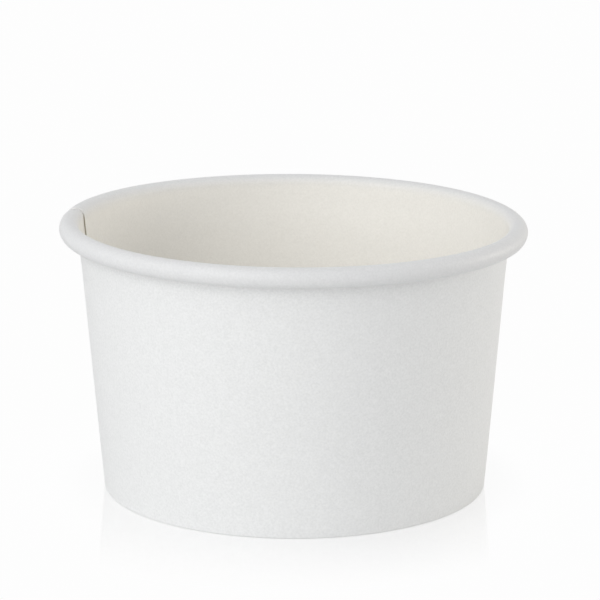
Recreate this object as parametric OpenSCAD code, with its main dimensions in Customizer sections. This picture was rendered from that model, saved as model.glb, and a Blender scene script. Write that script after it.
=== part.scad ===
// Round paper soup container: a sidewall wrapped from one piece of coated board, with a lapped
// side seam, a rolled rim and a hemmed foot, and a pressed bottom held in that hem.
// The container stands on z = 0 and its axis is +Z. All sizes are in millimetres.

/* [Container] */
// Outside diameter over the rolled rim
rim_od = 115; // [90:0.5:150]
// Outside diameter of the sidewall at the foot
foot_od = 95; // [75:0.5:106]
// Height from the foot to the top of the rim
height = 67; // [40:0.5:120]

/* [Sidewall] */
// Thickness of the sidewall board
wall_board = 0.4; // [0.25:0.01:0.6]
// Diameter of the rolled rim in section
roll_d = 4.8; // [3.6:0.1:6.5]
// Space between the tip of the roll and the lapped sidewall
roll_gap = 0.05; // [0.02:0.01:0.3]

/* [Side seam] */
// Direction of the inner cut edge, counter-clockwise from +X
seam_angle = 171; // [0:1:359]
// How far the outer ply laps over the inner ply
lap_w = 8; // [4:0.5:15]
// Groove left between the inner cut edge and the step
groove_w = 0.35; // [0.15:0.05:0.8]
// Length of the step in which the board climbs onto the inner ply
step_w = 3.5; // [1.5:0.5:8]

/* [Bottom] */
// Thickness of the bottom board
disc_board = 0.35; // [0.25:0.01:0.5]
// Height of the underside of the disc above the foot
recess = 6.5; // [5:0.5:12]
// Outside radius of the bend between the disc and its skirt
bend_r = 0.8; // [0.55:0.05:1]
// Space between the top of the hem and the underside of the disc
hem_gap = 1; // [0.8:0.1:3]
// Space between each face of the skirt and the sidewall, filled by the seal
seal = 0.02; // [0.01:0.01:0.1]

/* [Colours] */
// Colour of the sidewall board
wall_colour = "#efefee"; // [#efefee:White, #d8c3a0:Kraft]
// Colour of the bottom board
disc_colour = "#ebe8dd"; // [#ebe8dd:Cream, #d8c3a0:Kraft]

/* [Hidden] */
$fn = 240;

// Stretches in the rolled rim, in each bend and fold, and along the step of the seam
roll_steps = 26;
bend_steps = 5;
step_slices = 6;

// Centre of the rolled rim in the section plane, as [radius, height]
roll_r = roll_d / 2;
roll_centre = [rim_od / 2 - roll_r, height - roll_r];

// Lean of the sidewall from upright. Its inner face runs into the outside of the roll, so its
// outer face passes the roll's centre at the roll's radius less one board.
foot_to_roll = roll_centre - [foot_od / 2, 0];
lean = atan2(foot_to_roll[0], foot_to_roll[1]) - asin((roll_r - wall_board) / norm(foot_to_roll));

// The roll turns until its tip is just clear of the two plies of the seam
roll_turn = 360 - acos((roll_r - 2 * wall_board - roll_gap) / roll_r);

// The foot, counted inward from the outer face: sidewall, skirt of the bottom, hem
fold_r = wall_board;
skirt_outer = wall_board + seal;
skirt_inner = skirt_outer + disc_board;
hem_outer = skirt_inner + seal;
hem_inner = hem_outer + wall_board;
hem_top = recess - hem_gap;
skirt_bottom = wall_board + seal;

// Angles of the seam, taken at the middle of the sidewall's height
seam_r = (rim_od + foot_od) / 4;
function arc_angle(width) = width / seam_r * 180 / PI;
lap_angle = arc_angle(lap_w);
groove_angle = arc_angle(groove_w);
step_angle = arc_angle(step_w);

// Point of a face of the sidewall, at a depth inward from its outer face and a height
function face(depth, z) = [foot_od / 2 + z * tan(lean) - depth / cos(lean), z];

// Points round the roll at a radius, from where the sidewall enters it to its tip
function roll_arc(r) = [
    for (i = [0:roll_steps])
        let (a = 180 - lean - roll_turn * i / roll_steps)
        roll_centre + r * [cos(a), sin(a)]
];

function reversed(points) = [for (i = [len(points) - 1:-1:0]) points[i]];

// Points of an arc of radius r that rounds the corner from p by way of corner to q
function bend(p, corner, q, r) =
    let (
        u = (p - corner) / norm(p - corner),
        v = (q - corner) / norm(q - corner),
        half = acos(u * v) / 2,
        centre = corner + (u + v) / norm(u + v) * r / sin(half),
        from = corner + u * r / tan(half) - centre,
        to = corner + v * r / tan(half) - centre,
        start = atan2(from[1], from[0]),
        sweep = (atan2(to[1], to[0]) - start + 540) % 360 - 180
    )
    [
        for (i = [0:bend_steps])
            let (a = start + sweep * i / bend_steps)
            centre + r * [cos(a), sin(a)]
    ];

// Wall and roll of a ply that lies a given distance outside the inner ply
function wall_and_roll(lift) = concat(
    roll_arc(roll_r - lift),
    reversed(roll_arc(roll_r - lift - wall_board))
);

// Whole section of the sidewall, with its wall and roll lifted off the inner ply
function sidewall_section(lift) = concat(
    wall_and_roll(lift),
    bend(face(-lift, height), face(-lift, 0), face(hem_inner, 0), fold_r),
    bend(face(-lift, 0), face(hem_inner, 0), face(hem_inner, hem_top), fold_r),
    [
        face(hem_inner, hem_top),
        face(hem_outer, hem_top),
        face(hem_outer, wall_board),
        face(wall_board - lift, wall_board)
    ]
);

// The board's climb onto the inner ply, as a soft S from 0 to 1
function climb(s) = s * s * (3 - 2 * s);

// The three stretches of the sheet are drawn with the foot of the step at angle 0, where the sheet
// begins to climb. The groove, the inner cut edge and the lap follow clockwise from it.

// The whole sheet, from the foot of the step round to the inner cut edge
module inner_ply() {
    rotate_extrude(angle = 360 - step_angle - groove_angle)
        polygon(sidewall_section(0));
}

// The outer ply of the seam, over the groove and the lap
module outer_ply() {
    rotate_extrude(angle = groove_angle + lap_angle, start = -(step_angle + groove_angle + lap_angle))
        polygon(concat(wall_and_roll(wall_board), [face(-wall_board, 0), face(0, 0)]));
}

// The climb between the two, in narrow sectors that each lie a little higher and run on under the next
module seam_step() {
    sector = step_angle / step_slices;
    run_on = groove_angle / 3;
    for (i = [1:step_slices])
        rotate_extrude(angle = sector + run_on, start = -sector * i - run_on)
            polygon(sidewall_section(wall_board * climb(i / (step_slices + 1))));
}

// Sidewall: one blank of board, wrapped, lapped and sealed, rolled at the rim and hemmed at the foot
module sidewall() {
    color(wall_colour)
        rotate([0, 0, seam_angle + groove_angle + step_angle]) {
            inner_ply();
            seam_step();
            outer_ply();
        }
}

// Bottom: a disc of board pressed to a shallow cup upside down, its skirt held inside the hem
module bottom_disc() {
    disc_top = recess + disc_board;
    color(disc_colour)
        rotate_extrude()
            polygon(concat(
                [[0, recess], [0, disc_top]],
                bend([0, disc_top], face(skirt_outer, disc_top), face(skirt_outer, 0), bend_r),
                [face(skirt_outer, skirt_bottom), face(skirt_inner, skirt_bottom)],
                bend(face(skirt_inner, 0), face(skirt_inner, recess), [0, recess], bend_r - disc_board)
            ));
}

sidewall();
bottom_disc();
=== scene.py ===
import math

import bpy
import numpy as np
from mathutils import Matrix, Vector


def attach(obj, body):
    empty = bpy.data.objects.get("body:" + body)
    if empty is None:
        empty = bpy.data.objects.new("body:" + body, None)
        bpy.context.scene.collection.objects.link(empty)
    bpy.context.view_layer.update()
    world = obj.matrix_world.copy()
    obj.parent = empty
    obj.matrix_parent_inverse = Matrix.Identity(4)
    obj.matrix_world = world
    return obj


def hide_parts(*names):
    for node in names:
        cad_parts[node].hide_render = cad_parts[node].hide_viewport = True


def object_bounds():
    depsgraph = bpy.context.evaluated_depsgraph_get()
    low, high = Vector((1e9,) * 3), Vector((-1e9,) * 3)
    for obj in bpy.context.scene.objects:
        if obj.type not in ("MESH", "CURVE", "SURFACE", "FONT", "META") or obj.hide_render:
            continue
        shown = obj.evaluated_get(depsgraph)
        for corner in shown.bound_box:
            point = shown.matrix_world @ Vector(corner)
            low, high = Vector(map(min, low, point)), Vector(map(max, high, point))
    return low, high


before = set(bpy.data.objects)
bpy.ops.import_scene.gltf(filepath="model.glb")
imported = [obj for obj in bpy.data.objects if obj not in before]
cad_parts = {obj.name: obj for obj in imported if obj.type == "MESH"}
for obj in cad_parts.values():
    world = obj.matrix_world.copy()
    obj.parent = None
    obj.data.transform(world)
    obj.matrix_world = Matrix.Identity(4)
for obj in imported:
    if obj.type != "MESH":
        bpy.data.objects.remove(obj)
cad_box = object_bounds()

# Camera. The container is seen from a little above, from most of a metre away, with its side seam
# at the left. The picture leans over by a fraction of a degree, as the photograph does.
CAMERA_PLACE = Vector((0.00066, -0.700, 0.2166))
CAMERA_PITCH = math.radians(13.674)
CAMERA_YAW = math.radians(0.051)
CAMERA_ROLL = math.radians(0.131)
LENS_MM = 174.75
SENSOR_MM = 36.0
CLIP_START = 0.01

camera_data = bpy.data.cameras.new("camera")
camera_data.lens = LENS_MM
camera_data.sensor_width = SENSOR_MM
camera_data.clip_start = CLIP_START
camera = bpy.data.objects.new("camera", camera_data)
camera.matrix_world = (
    Matrix.Translation(CAMERA_PLACE)
    @ Matrix.Rotation(-CAMERA_YAW, 4, "Z")
    @ Matrix.Rotation(math.pi / 2 - CAMERA_PITCH, 4, "X")
    @ Matrix.Rotation(CAMERA_ROLL, 4, "Z")
)
bpy.context.scene.collection.objects.link(camera)
bpy.context.scene.camera = camera

# Sidewall. One blank of coated paperboard is wrapped round a mandrel, lapped and sealed down one
# side, rolled outward at the rim, and folded in and up at the foot round the skirt of the bottom.
MM = 0.001
BOARD = 0.40 * MM
RIM_R = cad_box[1].x
HEIGHT = cad_box[1].z
FOOT_R = 47.5 * MM
ROLL_R = 2.4 * MM
ROLL_GAP = 0.05 * MM
SEAL = 0.02 * MM
DISC_BOARD = 0.35 * MM
RECESS = 6.5 * MM
HEM_GAP = 1.0 * MM

SEAM_ANGLE = math.radians(170.3)
SEAM_R = (RIM_R + FOOT_R) / 2
LAP_ANGLE = 8.0 * MM / SEAM_R
GROOVE_ANGLE = 0.55 * MM / SEAM_R
STEP_ANGLE = 3.3 * MM / SEAM_R
GLUE = 0.01 * MM
LIP = 0.15 * MM
LIP_DEPTH = 0.8
LIP_STOPS = (0.0, 0.06, 0.2, 0.45, 0.75, 1.0)

WALL_STEPS = 26
ROLL_STEPS = 40
FOLD_STEPS = 6
HEM_STEPS = 10
SKIRT_STEPS = 6
EDGE_STEPS = 3
ROUND_STEP = math.radians(0.75)
SEAM_STEP = math.radians(0.11)
SHARP_EDGE = math.radians(38)

roll_centre = (RIM_R - ROLL_R, HEIGHT - ROLL_R)
foot_to_roll = math.hypot(roll_centre[0] - FOOT_R, roll_centre[1])
LEAN = math.atan2(roll_centre[0] - FOOT_R, roll_centre[1]) - math.asin((ROLL_R - BOARD) / foot_to_roll)
ROLL_TURN = 2 * math.pi - math.acos((ROLL_R - 2 * BOARD - ROLL_GAP) / ROLL_R)
HEM_OUTER = BOARD + 2 * SEAL + DISC_BOARD
HEM_INNER = HEM_OUTER + BOARD
HEM_TOP = RECESS - HEM_GAP
WALL_LENGTH = (HEIGHT - ROLL_R * (1 - math.sin(LEAN)) - BOARD) / math.cos(LEAN)

# Knurling of the hem, and the heights between which it fades in and out
KNURLS = 96
KNURL_DEPTH = 0.07 * MM
KNURL_FOOT = (1.2 * MM, 1.9 * MM)
KNURL_TOP = (4.3 * MM, 5.0 * MM)

# Waviness of the board: how many waves go round, their size in millimetres and their phase
WALL_WAVES = ((2, 0.050, 0.6), (3, 0.035, 2.1), (5, 0.018, 4.4), (9, 0.007, 1.3), (14, 0.004, 5.2))
RIM_WAVES = ((1, 0.298, -1.45), (2, 0.014, -0.84), (3, 0.043, -1.09), (7, 0.012, 3.3), (11, 0.010, 1.1),
             (23, 0.006, 2.2))
RIM_HEIGHTS = ((1, 0.386, -1.69), (2, 0.032, 1.73), (3, 0.065, -1.13), (7, 0.006, 2.4), (11, 0.005, 5.1))
RIM_LIFT = 0.20 * MM
WALL_PULL = 0.20 * MM
WALL_START = (4 * MM, 26 * MM)
WALL_END = (48 * MM, 62 * MM)
RIM_START = 52 * MM


def on_face(depth, z):
    """Section point of a face of the sidewall, counted inward from its outer face."""
    return (FOOT_R + z * math.tan(LEAN) - depth / math.cos(LEAN), z)


def soft_step(low, high, x):
    """Rises softly from 0 at low to 1 at high."""
    s = np.clip((x - low) / (high - low), 0.0, 1.0)
    return s * s * (3.0 - 2.0 * s)


def line_points(a, b, steps):
    s = np.linspace(0.0, 1.0, steps + 1)[:, None]
    return np.array(a) * (1 - s) + np.array(b) * s


def bend_points(before, corner, after, radius, steps):
    """Points of the arc that rounds a corner between two straight runs."""
    before, corner, after = (np.array(p, float) for p in (before, corner, after))
    u = (before - corner) / np.linalg.norm(before - corner)
    v = (after - corner) / np.linalg.norm(after - corner)
    half = math.acos(float(u @ v)) / 2
    centre = corner + (u + v) / np.linalg.norm(u + v) * radius / math.sin(half)
    start = corner + u * radius / math.tan(half) - centre
    end = corner + v * radius / math.tan(half) - centre
    first = math.atan2(start[1], start[0])
    sweep = (math.atan2(end[1], end[0]) - first + 3 * math.pi) % (2 * math.pi) - math.pi
    angles = first + sweep * np.linspace(0.0, 1.0, steps + 1)
    return centre + radius * np.stack([np.cos(angles), np.sin(angles)], 1)


def roll_points(radius):
    angles = math.pi - LEAN - ROLL_TURN * np.linspace(0.0, 1.0, ROLL_STEPS + 1)
    return np.array(roll_centre) + radius * np.stack([np.cos(angles), np.sin(angles)], 1)


def sheet_section(lift, inner_lip, outer_lip):
    """Closed section of the sheet, and the finish of the strip that starts at each of its points."""
    inner = BOARD - lift - inner_lip
    outer = outer_lip - lift
    roll_out = roll_points(ROLL_R - lift - inner_lip)
    roll_in = roll_points(ROLL_R - lift - BOARD + outer_lip)[::-1]
    wall_foot, hem_foot = on_face(outer, 0), on_face(HEM_INNER, 0)
    hem_inner, hem_outer = on_face(HEM_INNER, HEM_TOP), on_face(HEM_OUTER, HEM_TOP)
    foot_bend = bend_points(on_face(outer, HEIGHT), wall_foot, hem_foot, BOARD, FOLD_STEPS)
    hem_bend = bend_points(wall_foot, hem_foot, hem_inner, BOARD, FOLD_STEPS)
    runs = [
        (line_points(on_face(inner, BOARD), roll_out[0], WALL_STEPS)[:-1], "inside"),
        (roll_out[:-1], "inside"),
        (line_points(roll_out[-1], roll_in[0], EDGE_STEPS)[:-1], "edge"),
        (roll_in[:-1], "outside"),
        (line_points(roll_in[-1], foot_bend[0], WALL_STEPS)[:-1], "outside"),
        (foot_bend, "outside"),
        (hem_bend[:-1], "outside"),
        (line_points(hem_bend[-1], hem_inner, HEM_STEPS)[:-1], "outside"),
        (line_points(hem_inner, hem_outer, EDGE_STEPS)[:-1], "edge"),
        (line_points(hem_outer, on_face(HEM_OUTER, BOARD), SKIRT_STEPS), "inside"),
    ]
    points = np.concatenate([run[0] for run in runs])
    finishes = [name for run, name in runs for _ in run]
    return points, finishes


def count_to_foot():
    """How many section points lie before the foot's fold: the wall and the roll alone."""
    return WALL_STEPS + ROLL_STEPS + EDGE_STEPS + ROLL_STEPS + WALL_STEPS + 1


def waves(angle, table):
    """Sum of a table's waves at one angle round the container."""
    return sum(size * MM * math.sin(count * angle + phase) for count, size, phase in table)


def settle(points, angle):
    """Gives one section the waviness and lean of real board, and the knurling inside its hem."""
    r, z = points[:, 0].copy(), points[:, 1].copy()
    share = np.clip((z - RECESS - 2 * BOARD) / (HEIGHT - RECESS - 2 * BOARD), 0.0, 1.0)
    wall = soft_step(*WALL_START, z) * (1 - soft_step(*WALL_END, z))
    rim = soft_step(RIM_START, HEIGHT - 2 * ROLL_R, z)
    r += wall * waves(angle, WALL_WAVES) + share * waves(angle, RIM_WAVES) - share * (1 - rim) * WALL_PULL
    z += share * share * (RIM_LIFT + waves(angle, RIM_HEIGHTS))
    in_hem = r < FOOT_R - (HEM_INNER - 0.1 * BOARD) / math.cos(LEAN) + z * math.tan(LEAN)
    band = soft_step(*KNURL_FOOT, z) * (1 - soft_step(*KNURL_TOP, z)) * in_hem
    r += band * KNURL_DEPTH * (0.5 + 0.5 * math.cos(KNURLS * angle))
    return r, z


def lip_depth(distance):
    """How far the board's face is rounded off at a distance from a cut edge."""
    s = min(max(1 - distance / LIP, 0.0), 1.0)
    return LIP * LIP_DEPTH * (1 - math.sqrt(1 - s * s))


def sweep_stops():
    """Angles of the sections along the sheet, from the inner cut edge right round to the outer one.

    They lie close together at the cut edges and in the step, and wide apart elsewhere.
    """
    total = 2 * math.pi + LAP_ANGLE
    groove = 2 * math.pi - GROOVE_ANGLE
    step = groove - STEP_ANGLE
    lip = LIP / SEAM_R
    coarse = list(np.arange(0.0, total, ROUND_STEP))
    fine = list(np.arange(step, 2 * math.pi + ROUND_STEP, SEAM_STEP))
    ends = [lip * s for s in LIP_STOPS]
    stops = [a for a in coarse if ROUND_STEP * 0.7 < a < step - ROUND_STEP * 0.5]
    stops += [a for a in fine if abs(a - groove) > SEAM_STEP * 0.4] + [groove]
    stops += [a for a in coarse if 2 * math.pi + ROUND_STEP * 1.4 < a < total - ROUND_STEP * 0.5]
    stops += ends + [total - a for a in ends]
    return sorted(stops), groove, step, total


def make_object(name, vertices, faces, finishes, uvs, materials):
    """Mesh object from loose lists. Each face has a finish, and the place of its corners on the sheet."""
    mesh = bpy.data.meshes.new(name)
    mesh.from_pydata([tuple(v) for v in vertices], [], faces)
    names = list(materials)
    for material in materials.values():
        mesh.materials.append(material)
    mesh.polygons.foreach_set("material_index", [names.index(f) for f in finishes])
    layer = mesh.uv_layers.new(name="board")
    layer.data.foreach_set("uv", [c for face in uvs for uv in face for c in uv])
    mesh.polygons.foreach_set("use_smooth", [True] * len(faces))
    mesh.set_sharp_from_angle(angle=SHARP_EDGE)
    mesh.update()
    piece = bpy.data.objects.new(name, mesh)
    bpy.context.scene.collection.objects.link(piece)
    return piece


def sidewall_mesh():
    """The sheet as one closed mesh. Its sections lose the hem where the outer ply laps over."""
    stops, groove, step, total = sweep_stops()
    vertices, rings, sweeps, lengths = [], [], [], []
    short = count_to_foot()
    for sweep in stops:
        lift = (BOARD + GLUE) * soft_step(step, groove, sweep)
        inner_lip = lip_depth(sweep * SEAM_R)
        outer_lip = lip_depth((total - sweep) * SEAM_R)
        points, strip = sheet_section(lift, inner_lip, outer_lip)
        angle = SEAM_ANGLE - sweep
        r, z = settle(points, angle)
        whole = sweep <= groove + 1e-9
        count = len(r) if whole else short
        run = np.concatenate([[0.0], np.cumsum(np.hypot(np.diff(r), np.diff(z)))])
        rings.append(list(range(len(vertices), len(vertices) + count)))
        vertices += [(r[j] * math.cos(angle), r[j] * math.sin(angle), z[j]) for j in range(count)]
        sweeps.append(sweep * SEAM_R)
        lengths.append(run)
    faces, finishes, uvs = [], [], []
    for i in range(len(rings) - 1):
        a, b = rings[i], rings[i + 1]
        count = min(len(a), len(b))
        for j in range(count):
            k = (j + 1) % count
            faces.append((a[j], b[j], b[k], a[k]))
            finishes.append("edge" if count == short and j == count - 1 else strip[j])
            start = [lengths[i + m][j] for m in (0, 1)]
            end = [
                lengths[i + m][j + 1] if j + 1 < len(lengths[i + m]) else start[m] + BOARD
                for m in (0, 1)
            ]
            uvs.append([
                (sweeps[i], start[0]),
                (sweeps[i + 1], start[1]),
                (sweeps[i + 1], end[1]),
                (sweeps[i], end[0]),
            ])
    first_short = next(i for i, ring in enumerate(rings) if len(ring) == short)
    notch = rings[first_short - 1]
    caps = [rings[0], rings[-1][::-1], (notch[short - 1:] + notch[:1])[::-1]]
    for cap in caps:
        faces.append(tuple(cap))
        finishes.append("edge")
        uvs.append([(math.hypot(vertices[n][0], vertices[n][1]), vertices[n][2]) for n in cap])
    return vertices, faces, finishes, uvs


def new_group(name, inputs, outputs):
    group = bpy.data.node_groups.new(name, "ShaderNodeTree")
    for socket in inputs:
        group.interface.new_socket(name=socket, in_out="INPUT", socket_type="NodeSocketVector")
    for socket in outputs:
        group.interface.new_socket(name=socket, in_out="OUTPUT", socket_type="NodeSocketFloat")
    return group


def add_node(tree, kind, **values):
    node = tree.nodes.new(kind)
    for key, value in values.items():
        setattr(node, key, value)
    return node


def maths(tree, operation, a, b=None, c=None):
    """Adds a Math node whose inputs are numbers or sockets, and gives back its output."""
    node = add_node(tree, "ShaderNodeMath", operation=operation)
    for i, value in enumerate((a, b, c)):
        if value is None:
            continue
        if isinstance(value, (int, float)):
            node.inputs[i].default_value = value
        else:
            tree.links.new(value, node.inputs[i])
    return node.outputs[0]


def noise(tree, vector, scale, detail, roughness=0.5):
    node = add_node(tree, "ShaderNodeTexNoise")
    node.inputs["Scale"].default_value = scale
    node.inputs["Detail"].default_value = detail
    node.inputs["Roughness"].default_value = roughness
    tree.links.new(vector, node.inputs["Vector"])
    return node.outputs["Fac"]


def stretched(tree, vector, turn, along, across):
    """Coordinates drawn out along one direction of the sheet, for fibres that lie that way."""
    node = add_node(tree, "ShaderNodeMapping", vector_type="POINT")
    node.inputs["Rotation"].default_value = (0.0, 0.0, math.radians(turn))
    tree.links.new(vector, node.inputs["Vector"])
    scale = add_node(tree, "ShaderNodeMapping", vector_type="POINT")
    scale.inputs["Scale"].default_value = (along, across, 1.0)
    tree.links.new(node.outputs["Vector"], scale.inputs["Vector"])
    return scale.outputs["Vector"]


# Texture of the board, in features per metre. The cloudy formation and the specks are about as
# long as they are wide, and the fibres are drawn out along three directions of the sheet.
CLOUD_SCALE = 420.0
SPECK_SCALE = 1900.0
FIBRE_ALONG, FIBRE_ACROSS = 380.0, 3600.0
FIBRE_TURNS = (4.0, -31.0, 47.0)
FLECK_SCALE = 75.0
FLECK_STRENGTH = 0.6
TINT_SHARES = {"cloud": 0.35, "speck": 2.00, "fibre": 0.45}
TINT_SHIFT = -0.925
HEIGHT_SHARES = {"cloud": 0.6, "speck": 0.5, "fibre": 0.8}


def board_fibre_group():
    """The look of pulp board: cloudy formation, small specks and short fibres lying in the sheet."""
    group = new_group("board_fibre", ("Sheet", "Place"), ("Tint", "Height", "Fleck"))
    source = add_node(group, "NodeGroupInput")
    sink = add_node(group, "NodeGroupOutput")
    sheet, place = source.outputs["Sheet"], source.outputs["Place"]
    cloud = noise(group, place, scale=CLOUD_SCALE, detail=3.0, roughness=0.55)
    speck = noise(group, place, scale=SPECK_SCALE, detail=2.0, roughness=0.6)
    fibres = [
        noise(group, stretched(group, sheet, turn, FIBRE_ALONG, FIBRE_ACROSS), scale=1.0, detail=1.5)
        for turn in FIBRE_TURNS
    ]
    fibre = maths(group, "MAXIMUM", maths(group, "MAXIMUM", fibres[0], fibres[1]), fibres[2])
    tint = maths(group, "MULTIPLY_ADD", cloud, TINT_SHARES["cloud"], TINT_SHIFT)
    tint = maths(group, "MULTIPLY_ADD", speck, TINT_SHARES["speck"], tint)
    tint = maths(group, "MULTIPLY_ADD", fibre, TINT_SHARES["fibre"], tint)
    height = maths(group, "MULTIPLY", fibre, HEIGHT_SHARES["fibre"])
    height = maths(group, "MULTIPLY_ADD", speck, HEIGHT_SHARES["speck"], height)
    height = maths(group, "MULTIPLY_ADD", cloud, HEIGHT_SHARES["cloud"], height)
    cells = add_node(group, "ShaderNodeTexVoronoi", feature="F1")
    cells.inputs["Scale"].default_value = FLECK_SCALE
    group.links.new(place, cells.inputs["Vector"])
    shade = add_node(group, "ShaderNodeSeparateColor")
    group.links.new(cells.outputs["Color"], shade.inputs["Color"])
    # Most flecks are small and a few are larger
    size = maths(group, "MULTIPLY_ADD", maths(group, "POWER", shade.outputs["Red"], 4.0), 0.016, 0.004)
    fleck = maths(group, "LESS_THAN", cells.outputs["Distance"], size)
    group.links.new(maths(group, "MAXIMUM", tint, 0.0), sink.inputs["Tint"])
    group.links.new(height, sink.inputs["Height"])
    group.links.new(maths(group, "MULTIPLY", fleck, FLECK_STRENGTH), sink.inputs["Fleck"])
    return group


BOARD_FIBRE = board_fibre_group()


def colour_mix(tree, factor, dark, light):
    """Mixes two colours, each a plain colour or a socket, and gives back the result."""
    node = add_node(tree, "ShaderNodeMix", data_type="RGBA")
    tree.links.new(factor, node.inputs["Factor"])
    for socket, value in ((node.inputs["A"], dark), (node.inputs["B"], light)):
        if isinstance(value, tuple):
            socket.default_value = (*value, 1.0)
        else:
            tree.links.new(value, socket)
    return node.outputs["Result"]


def split(tree, vector):
    node = add_node(tree, "ShaderNodeSeparateXYZ")
    tree.links.new(vector, node.inputs["Vector"])
    return node.outputs


def ramp(tree, value, low, high):
    """Soft rise from 0 at low to 1 at high, as a socket."""
    node = add_node(tree, "ShaderNodeMapRange", interpolation_type="SMOOTHSTEP")
    node.inputs["From Min"].default_value = low
    node.inputs["From Max"].default_value = high
    tree.links.new(value, node.inputs["Value"])
    return node.outputs["Result"]


def start_material(name, roughness, specular):
    """A material with its board coordinates ready, for one of the board's finishes."""
    material = bpy.data.materials.new(name)
    material.use_nodes = True
    tree = material.node_tree
    shader = tree.nodes["Principled BSDF"]
    shader.inputs["Roughness"].default_value = roughness
    shader.inputs["Specular IOR Level"].default_value = specular
    sheet = add_node(tree, "ShaderNodeUVMap", uv_map="board").outputs["UV"]
    place = add_node(tree, "ShaderNodeTexCoord").outputs["Object"]
    return material, tree, shader, sheet, place


def add_fibre(tree, sheet, place):
    fibre = add_node(tree, "ShaderNodeGroup", node_tree=BOARD_FIBRE)
    tree.links.new(sheet, fibre.inputs["Sheet"])
    tree.links.new(place, fibre.inputs["Place"])
    return fibre


def add_bump(tree, height, shader, strength, distance):
    bump = add_node(tree, "ShaderNodeBump")
    bump.inputs["Strength"].default_value = strength
    bump.inputs["Distance"].default_value = distance
    tree.links.new(height, bump.inputs["Height"])
    tree.links.new(bump.outputs["Normal"], shader.inputs["Normal"])


# Colours of the board, each a darker and a lighter one that its fibre varies between
OUTER_WHITE = ((0.785, 0.790, 0.786), (0.885, 0.889, 0.885))
INNER_CREAM = ((0.868, 0.850, 0.806), (0.940, 0.922, 0.878))
# Painted shade: a cooler, darker grey for the inside face where it turns over the roll, in place of the
# warm bounce light that the wall inside the cup gets
ROLL_SHADE_GREY = ((0.730, 0.732, 0.734), (0.802, 0.804, 0.806))
# Partly painted shade: the raw pulp's own warm colour, made darker to stand in for the shadow in the seam's
# groove
PULP_AND_GROOVE_SHADE = ((0.34, 0.30, 0.23), (0.56, 0.51, 0.42))
# Painted light: a paler colour for the cut edge near the top of the rim, where it is lit
EDGE_PAINTED_LIGHT = (0.76, 0.75, 0.73)
OUTER_FLECK = (0.50, 0.48, 0.44)
INNER_FLECK = (0.50, 0.47, 0.42)
FIBRE_RELIEF = 0.03 * MM
PULP_RELIEF = 0.05 * MM


def outside_board():
    """Bright white outer face with a matt clay coat, which lets the formation of the board show."""
    material, tree, shader, sheet, place = start_material("outside_board", roughness=0.62, specular=0.3)
    fibre = add_fibre(tree, sheet, place)
    colour = colour_mix(tree, fibre.outputs["Tint"], *OUTER_WHITE)
    colour = colour_mix(tree, fibre.outputs["Fleck"], colour, OUTER_FLECK)
    tree.links.new(colour, shader.inputs["Base Color"])
    add_bump(tree, fibre.outputs["Height"], shader, 0.30, FIBRE_RELIEF)
    return material


def inside_board():
    """Food side with its thin film: cream down the wall, and over the roll a cooler, darker grey that is
    painted shade, in place of the warm bounce light that reaches the wall inside the cup but not the roll.
    """
    material, tree, shader, sheet, place = start_material("inside_board", roughness=0.48, specular=0.35)
    fibre = add_fibre(tree, sheet, place)
    # Painted shade: mask that turns the inside face to the cooler, darker grey over the roll
    roll_shade_mask = ramp(tree, split(tree, sheet)["Y"], WALL_LENGTH - 1.0 * MM, WALL_LENGTH + 3.0 * MM)
    cream = colour_mix(tree, fibre.outputs["Tint"], *INNER_CREAM)
    painted_roll_shade = colour_mix(tree, fibre.outputs["Tint"], *ROLL_SHADE_GREY)
    colour = colour_mix(tree, roll_shade_mask, cream, painted_roll_shade)
    colour = colour_mix(tree, fibre.outputs["Fleck"], colour, INNER_FLECK)
    tree.links.new(colour, shader.inputs["Base Color"])
    add_bump(tree, fibre.outputs["Height"], shader, 0.22, FIBRE_RELIEF)
    return material


def cut_edge():
    """Raw pulp where the blank was cut: warm, rough, in faint layers. Its dark brown is partly the pulp's
    own colour and partly painted shade of the seam's groove, and it is painted paler near the top of the
    rim, where the edge is lit.
    """
    material, tree, shader, sheet, place = start_material("cut_edge", roughness=0.85, specular=0.2)
    layers = noise(tree, stretched(tree, sheet, 0.0, 9000.0, 900.0), scale=1.0, detail=3.0, roughness=0.6)
    # Painted light: the edge turns paler towards the top of the rim, where it is lit and out of the
    # groove's shade
    painted_light_mask = ramp(tree, split(tree, place)["Z"], HEIGHT - ROLL_R, HEIGHT - BOARD)
    # Dark pulp colour, partly painted shade of the seam's groove
    colour = colour_mix(tree, layers, *PULP_AND_GROOVE_SHADE)
    colour = colour_mix(tree, painted_light_mask, colour, EDGE_PAINTED_LIGHT)
    tree.links.new(colour, shader.inputs["Base Color"])
    add_bump(tree, layers, shader, 0.6, PULP_RELIEF)
    return material


BOARD_FINISHES = {"outside": outside_board(), "inside": inside_board(), "edge": cut_edge()}
sidewall = make_object("sidewall_board", *sidewall_mesh(), BOARD_FINISHES)
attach(sidewall, "root")
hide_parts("sidewall")

# Bottom. A disc of the same board, a little thinner, is pressed to a shallow cup upside down, which
# puckers its edge. Its skirt is sealed between the sidewall and the hem, so it stands off the table.
BEND_R = 0.8 * MM
DISC_SEGMENTS = 480
DISC_STEPS = 34
BEND_STEPS = 9
SKIRT_EDGE_STEPS = 2
CENTRE_R = 0.5 * MM
PUCKERS = 96
PUCKER_DEPTH = 0.06 * MM
PUCKER_START, PUCKER_END = 5.5 * MM, 0.8 * MM
DISC_LEVEL = RECESS - 1.5 * MM
SAG = 0.25 * MM


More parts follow.
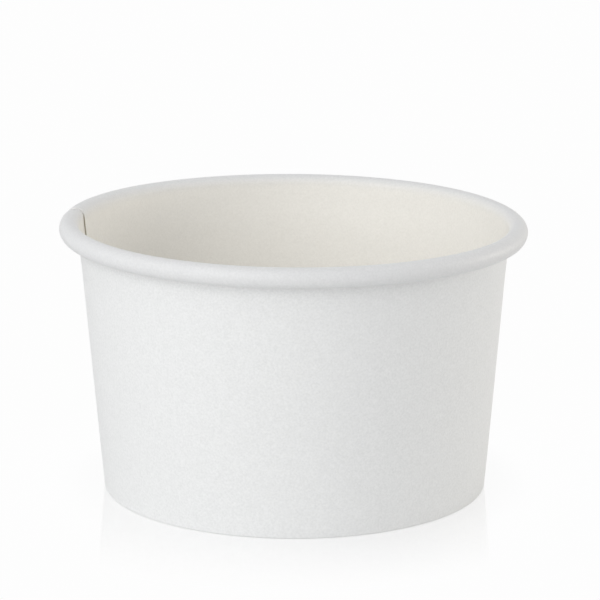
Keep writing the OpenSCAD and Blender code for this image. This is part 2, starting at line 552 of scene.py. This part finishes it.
def disc_section():
    """Section of the bottom, from the centre out over its top, down the skirt and back below."""
    disc_top = RECESS + DISC_BOARD
    outer = BOARD + SEAL
    inner = outer + DISC_BOARD
    skirt_out, skirt_in = on_face(outer, BOARD + SEAL), on_face(inner, BOARD + SEAL)
    top_bend = bend_points((0, disc_top), on_face(outer, disc_top), on_face(outer, 0), BEND_R, BEND_STEPS)
    low_bend = bend_points(
        on_face(inner, 0), on_face(inner, RECESS), (0, RECESS), BEND_R - DISC_BOARD, BEND_STEPS
    )
    runs = [
        (line_points((CENTRE_R, disc_top), top_bend[0], DISC_STEPS)[:-1], "inside"),
        (top_bend[:-1], "inside"),
        (line_points(top_bend[-1], skirt_out, SKIRT_STEPS)[:-1], "inside"),
        (line_points(skirt_out, skirt_in, SKIRT_EDGE_STEPS)[:-1], "edge"),
        (line_points(skirt_in, low_bend[0], SKIRT_STEPS)[:-1], "outside"),
        (low_bend[:-1], "outside"),
        (line_points(low_bend[-1], (CENTRE_R, RECESS), DISC_STEPS), "outside"),
    ]
    return np.concatenate([run[0] for run in runs]), [name for run, name in runs for _ in run]


def disc_mesh():
    """The bottom as one closed mesh, puckered near its bend and sagging a little in the middle."""
    points, strip = disc_section()
    count = len(points)
    bend_r = FOOT_R + RECESS * math.tan(LEAN) - BEND_R
    run = np.concatenate([[0.0], np.cumsum(np.hypot(*np.diff(points, axis=0).T))])
    vertices, faces, finishes, uvs = [], [], [], []
    for i in range(DISC_SEGMENTS):
        angle = 2 * math.pi * i / DISC_SEGMENTS
        r, z = points[:, 0], points[:, 1].copy()
        level = z > DISC_LEVEL
        pucker = soft_step(bend_r - PUCKER_START, bend_r - PUCKER_END, r) * level
        uneven = 0.8 * math.sin(7 * angle)
        z -= pucker * PUCKER_DEPTH * (0.5 + 0.5 * math.cos(PUCKERS * angle + uneven))
        z -= SAG * (1 - soft_step(0.0, 1.0, r / bend_r)) * level
        vertices += [(r[j] * math.cos(angle), r[j] * math.sin(angle), z[j]) for j in range(count)]
    for i in range(DISC_SEGMENTS):
        a, b = i * count, (i + 1) % DISC_SEGMENTS * count
        u = (BEND_R + FOOT_R) * 2 * math.pi * np.array([i, i + 1]) / DISC_SEGMENTS
        for j in range(count - 1):
            faces.append((a + j, a + j + 1, b + j + 1, b + j))
            finishes.append(strip[j])
            if strip[j] == "edge":
                uvs.append([(u[0], run[j]), (u[0], run[j + 1]), (u[1], run[j + 1]), (u[1], run[j])])
            else:
                uvs.append([vertices[n][:2] for n in faces[-1]])
    for j, finish in ((0, "inside"), (count - 1, "outside")):
        ring = [i * count + j for i in range(DISC_SEGMENTS)]
        ring = ring if finish == "inside" else ring[::-1]
        faces.append(tuple(ring))
        finishes.append(finish)
        uvs.append([vertices[n][:2] for n in ring])
    return vertices, faces, finishes, uvs


bottom = make_object("bottom_board", *disc_mesh(), BOARD_FINISHES)
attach(bottom, "root")
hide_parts("bottom_disc")

# Floor and light. A white tabletop that runs on out of the picture, a large soft lamp at the left
# in front, a weaker one high at the left, and a small warm one low at the right.
FLOOR_HALF = 4.0
FLOOR_WHITE = 0.985
CHALK = 0.90
CHALK_REACH, CHALK_SHARE = 62 * MM, 0.10
LACQUER_REACH, LACQUER_SHARE = 84 * MM, 0.28
LACQUER_ROUGHNESS = 0.09
SKY_LEVEL = 0.58
LAMP_DISTANCE = 1.5
LAMP_AIM = Vector((0, 0, 0.03))


def floor_material():
    """White lacquered board: it mirrors the foot faintly, close by, and takes its contact shadow."""
    material = bpy.data.materials.new("white_floor")
    material.use_nodes = True
    tree = material.node_tree
    tree.nodes.remove(tree.nodes["Principled BSDF"])
    chalk = add_node(tree, "ShaderNodeBsdfDiffuse")
    chalk.inputs["Color"].default_value = (CHALK, CHALK, CHALK, 1.0)
    white = add_node(tree, "ShaderNodeEmission")
    white.inputs["Strength"].default_value = FLOOR_WHITE
    lacquer = add_node(tree, "ShaderNodeBsdfAnisotropic", distribution="GGX")
    lacquer.inputs["Color"].default_value = (1.0, 1.0, 1.0, 1.0)
    lacquer.inputs["Roughness"].default_value = LACQUER_ROUGHNESS
    from_axis = add_node(tree, "ShaderNodeVectorMath", operation="LENGTH")
    tree.links.new(add_node(tree, "ShaderNodeTexCoord").outputs["Object"], from_axis.inputs[0])

    def close_to_foot(reach, share):
        near = ramp(tree, from_axis.outputs["Value"], reach, FOOT_R)
        return maths(tree, "MULTIPLY", near, share)

    def blend(factor, first, second):
        node = add_node(tree, "ShaderNodeMixShader")
        tree.links.new(factor, node.inputs["Fac"])
        tree.links.new(first.outputs[0], node.inputs[1])
        tree.links.new(second.outputs[0], node.inputs[2])
        return node

    shaded = blend(close_to_foot(CHALK_REACH, CHALK_SHARE), white, chalk)
    mirrored = blend(close_to_foot(LACQUER_REACH, LACQUER_SHARE), shaded, lacquer)
    path = add_node(tree, "ShaderNodeLightPath")
    seen = maths(tree, "MAXIMUM", path.outputs["Is Camera Ray"], path.outputs["Is Transmission Ray"])
    look = blend(seen, chalk, mirrored)
    tree.links.new(look.outputs[0], tree.nodes["Material Output"].inputs["Surface"])
    return material


corners = [(x * FLOOR_HALF, y * FLOOR_HALF, 0) for x, y in ((-1, -1), (1, -1), (1, 1), (-1, 1))]
floor_mesh = bpy.data.meshes.new("floor")
floor_mesh.from_pydata(corners, [], [(0, 1, 2, 3)])
floor_mesh.materials.append(floor_material())
floor = bpy.data.objects.new("floor", floor_mesh)
bpy.context.scene.collection.objects.link(floor)

world = bpy.data.worlds.new("world")
world.use_nodes = True
bpy.context.scene.world = world
sky = world.node_tree.nodes["Background"]
sky.inputs["Color"].default_value = (1.0, 1.0, 1.0, 1.0)
ray = add_node(world.node_tree, "ShaderNodeLightPath").outputs
background = maths(world.node_tree, "MAXIMUM", ray["Is Camera Ray"], ray["Is Glossy Ray"])
sky_level = maths(world.node_tree, "MULTIPLY_ADD", background, 1.0 - SKY_LEVEL, SKY_LEVEL)
world.node_tree.links.new(sky_level, sky.inputs["Strength"])


def soft_lamp(name, turn, climb, size, power, colour):
    """Square soft box aimed at the container, turned and raised by degrees from straight in front."""
    turn, climb = math.radians(turn), math.radians(climb)
    towards = Vector((math.sin(turn) * math.cos(climb), -math.cos(turn) * math.cos(climb), math.sin(climb)))
    light = bpy.data.lights.new(name, "AREA")
    light.shape = "SQUARE"
    light.size = size
    light.energy = power
    light.color = colour
    lamp = bpy.data.objects.new(name, light)
    lamp.location = LAMP_AIM + towards * LAMP_DISTANCE
    lamp.rotation_euler = towards.to_track_quat("Z", "Y").to_euler()
    bpy.context.scene.collection.objects.link(lamp)


soft_lamp("key_lamp", turn=-35, climb=25, size=1.0, power=7.85, colour=(0.99, 0.995, 1.0))
soft_lamp("high_lamp", turn=-60, climb=50, size=1.0, power=2.4, colour=(0.95, 0.975, 1.0))
soft_lamp("side_lamp", turn=110, climb=8, size=0.5, power=5.65, colour=(1.0, 0.957, 0.875))

bpy.context.scene.view_settings.view_transform = "Standard"
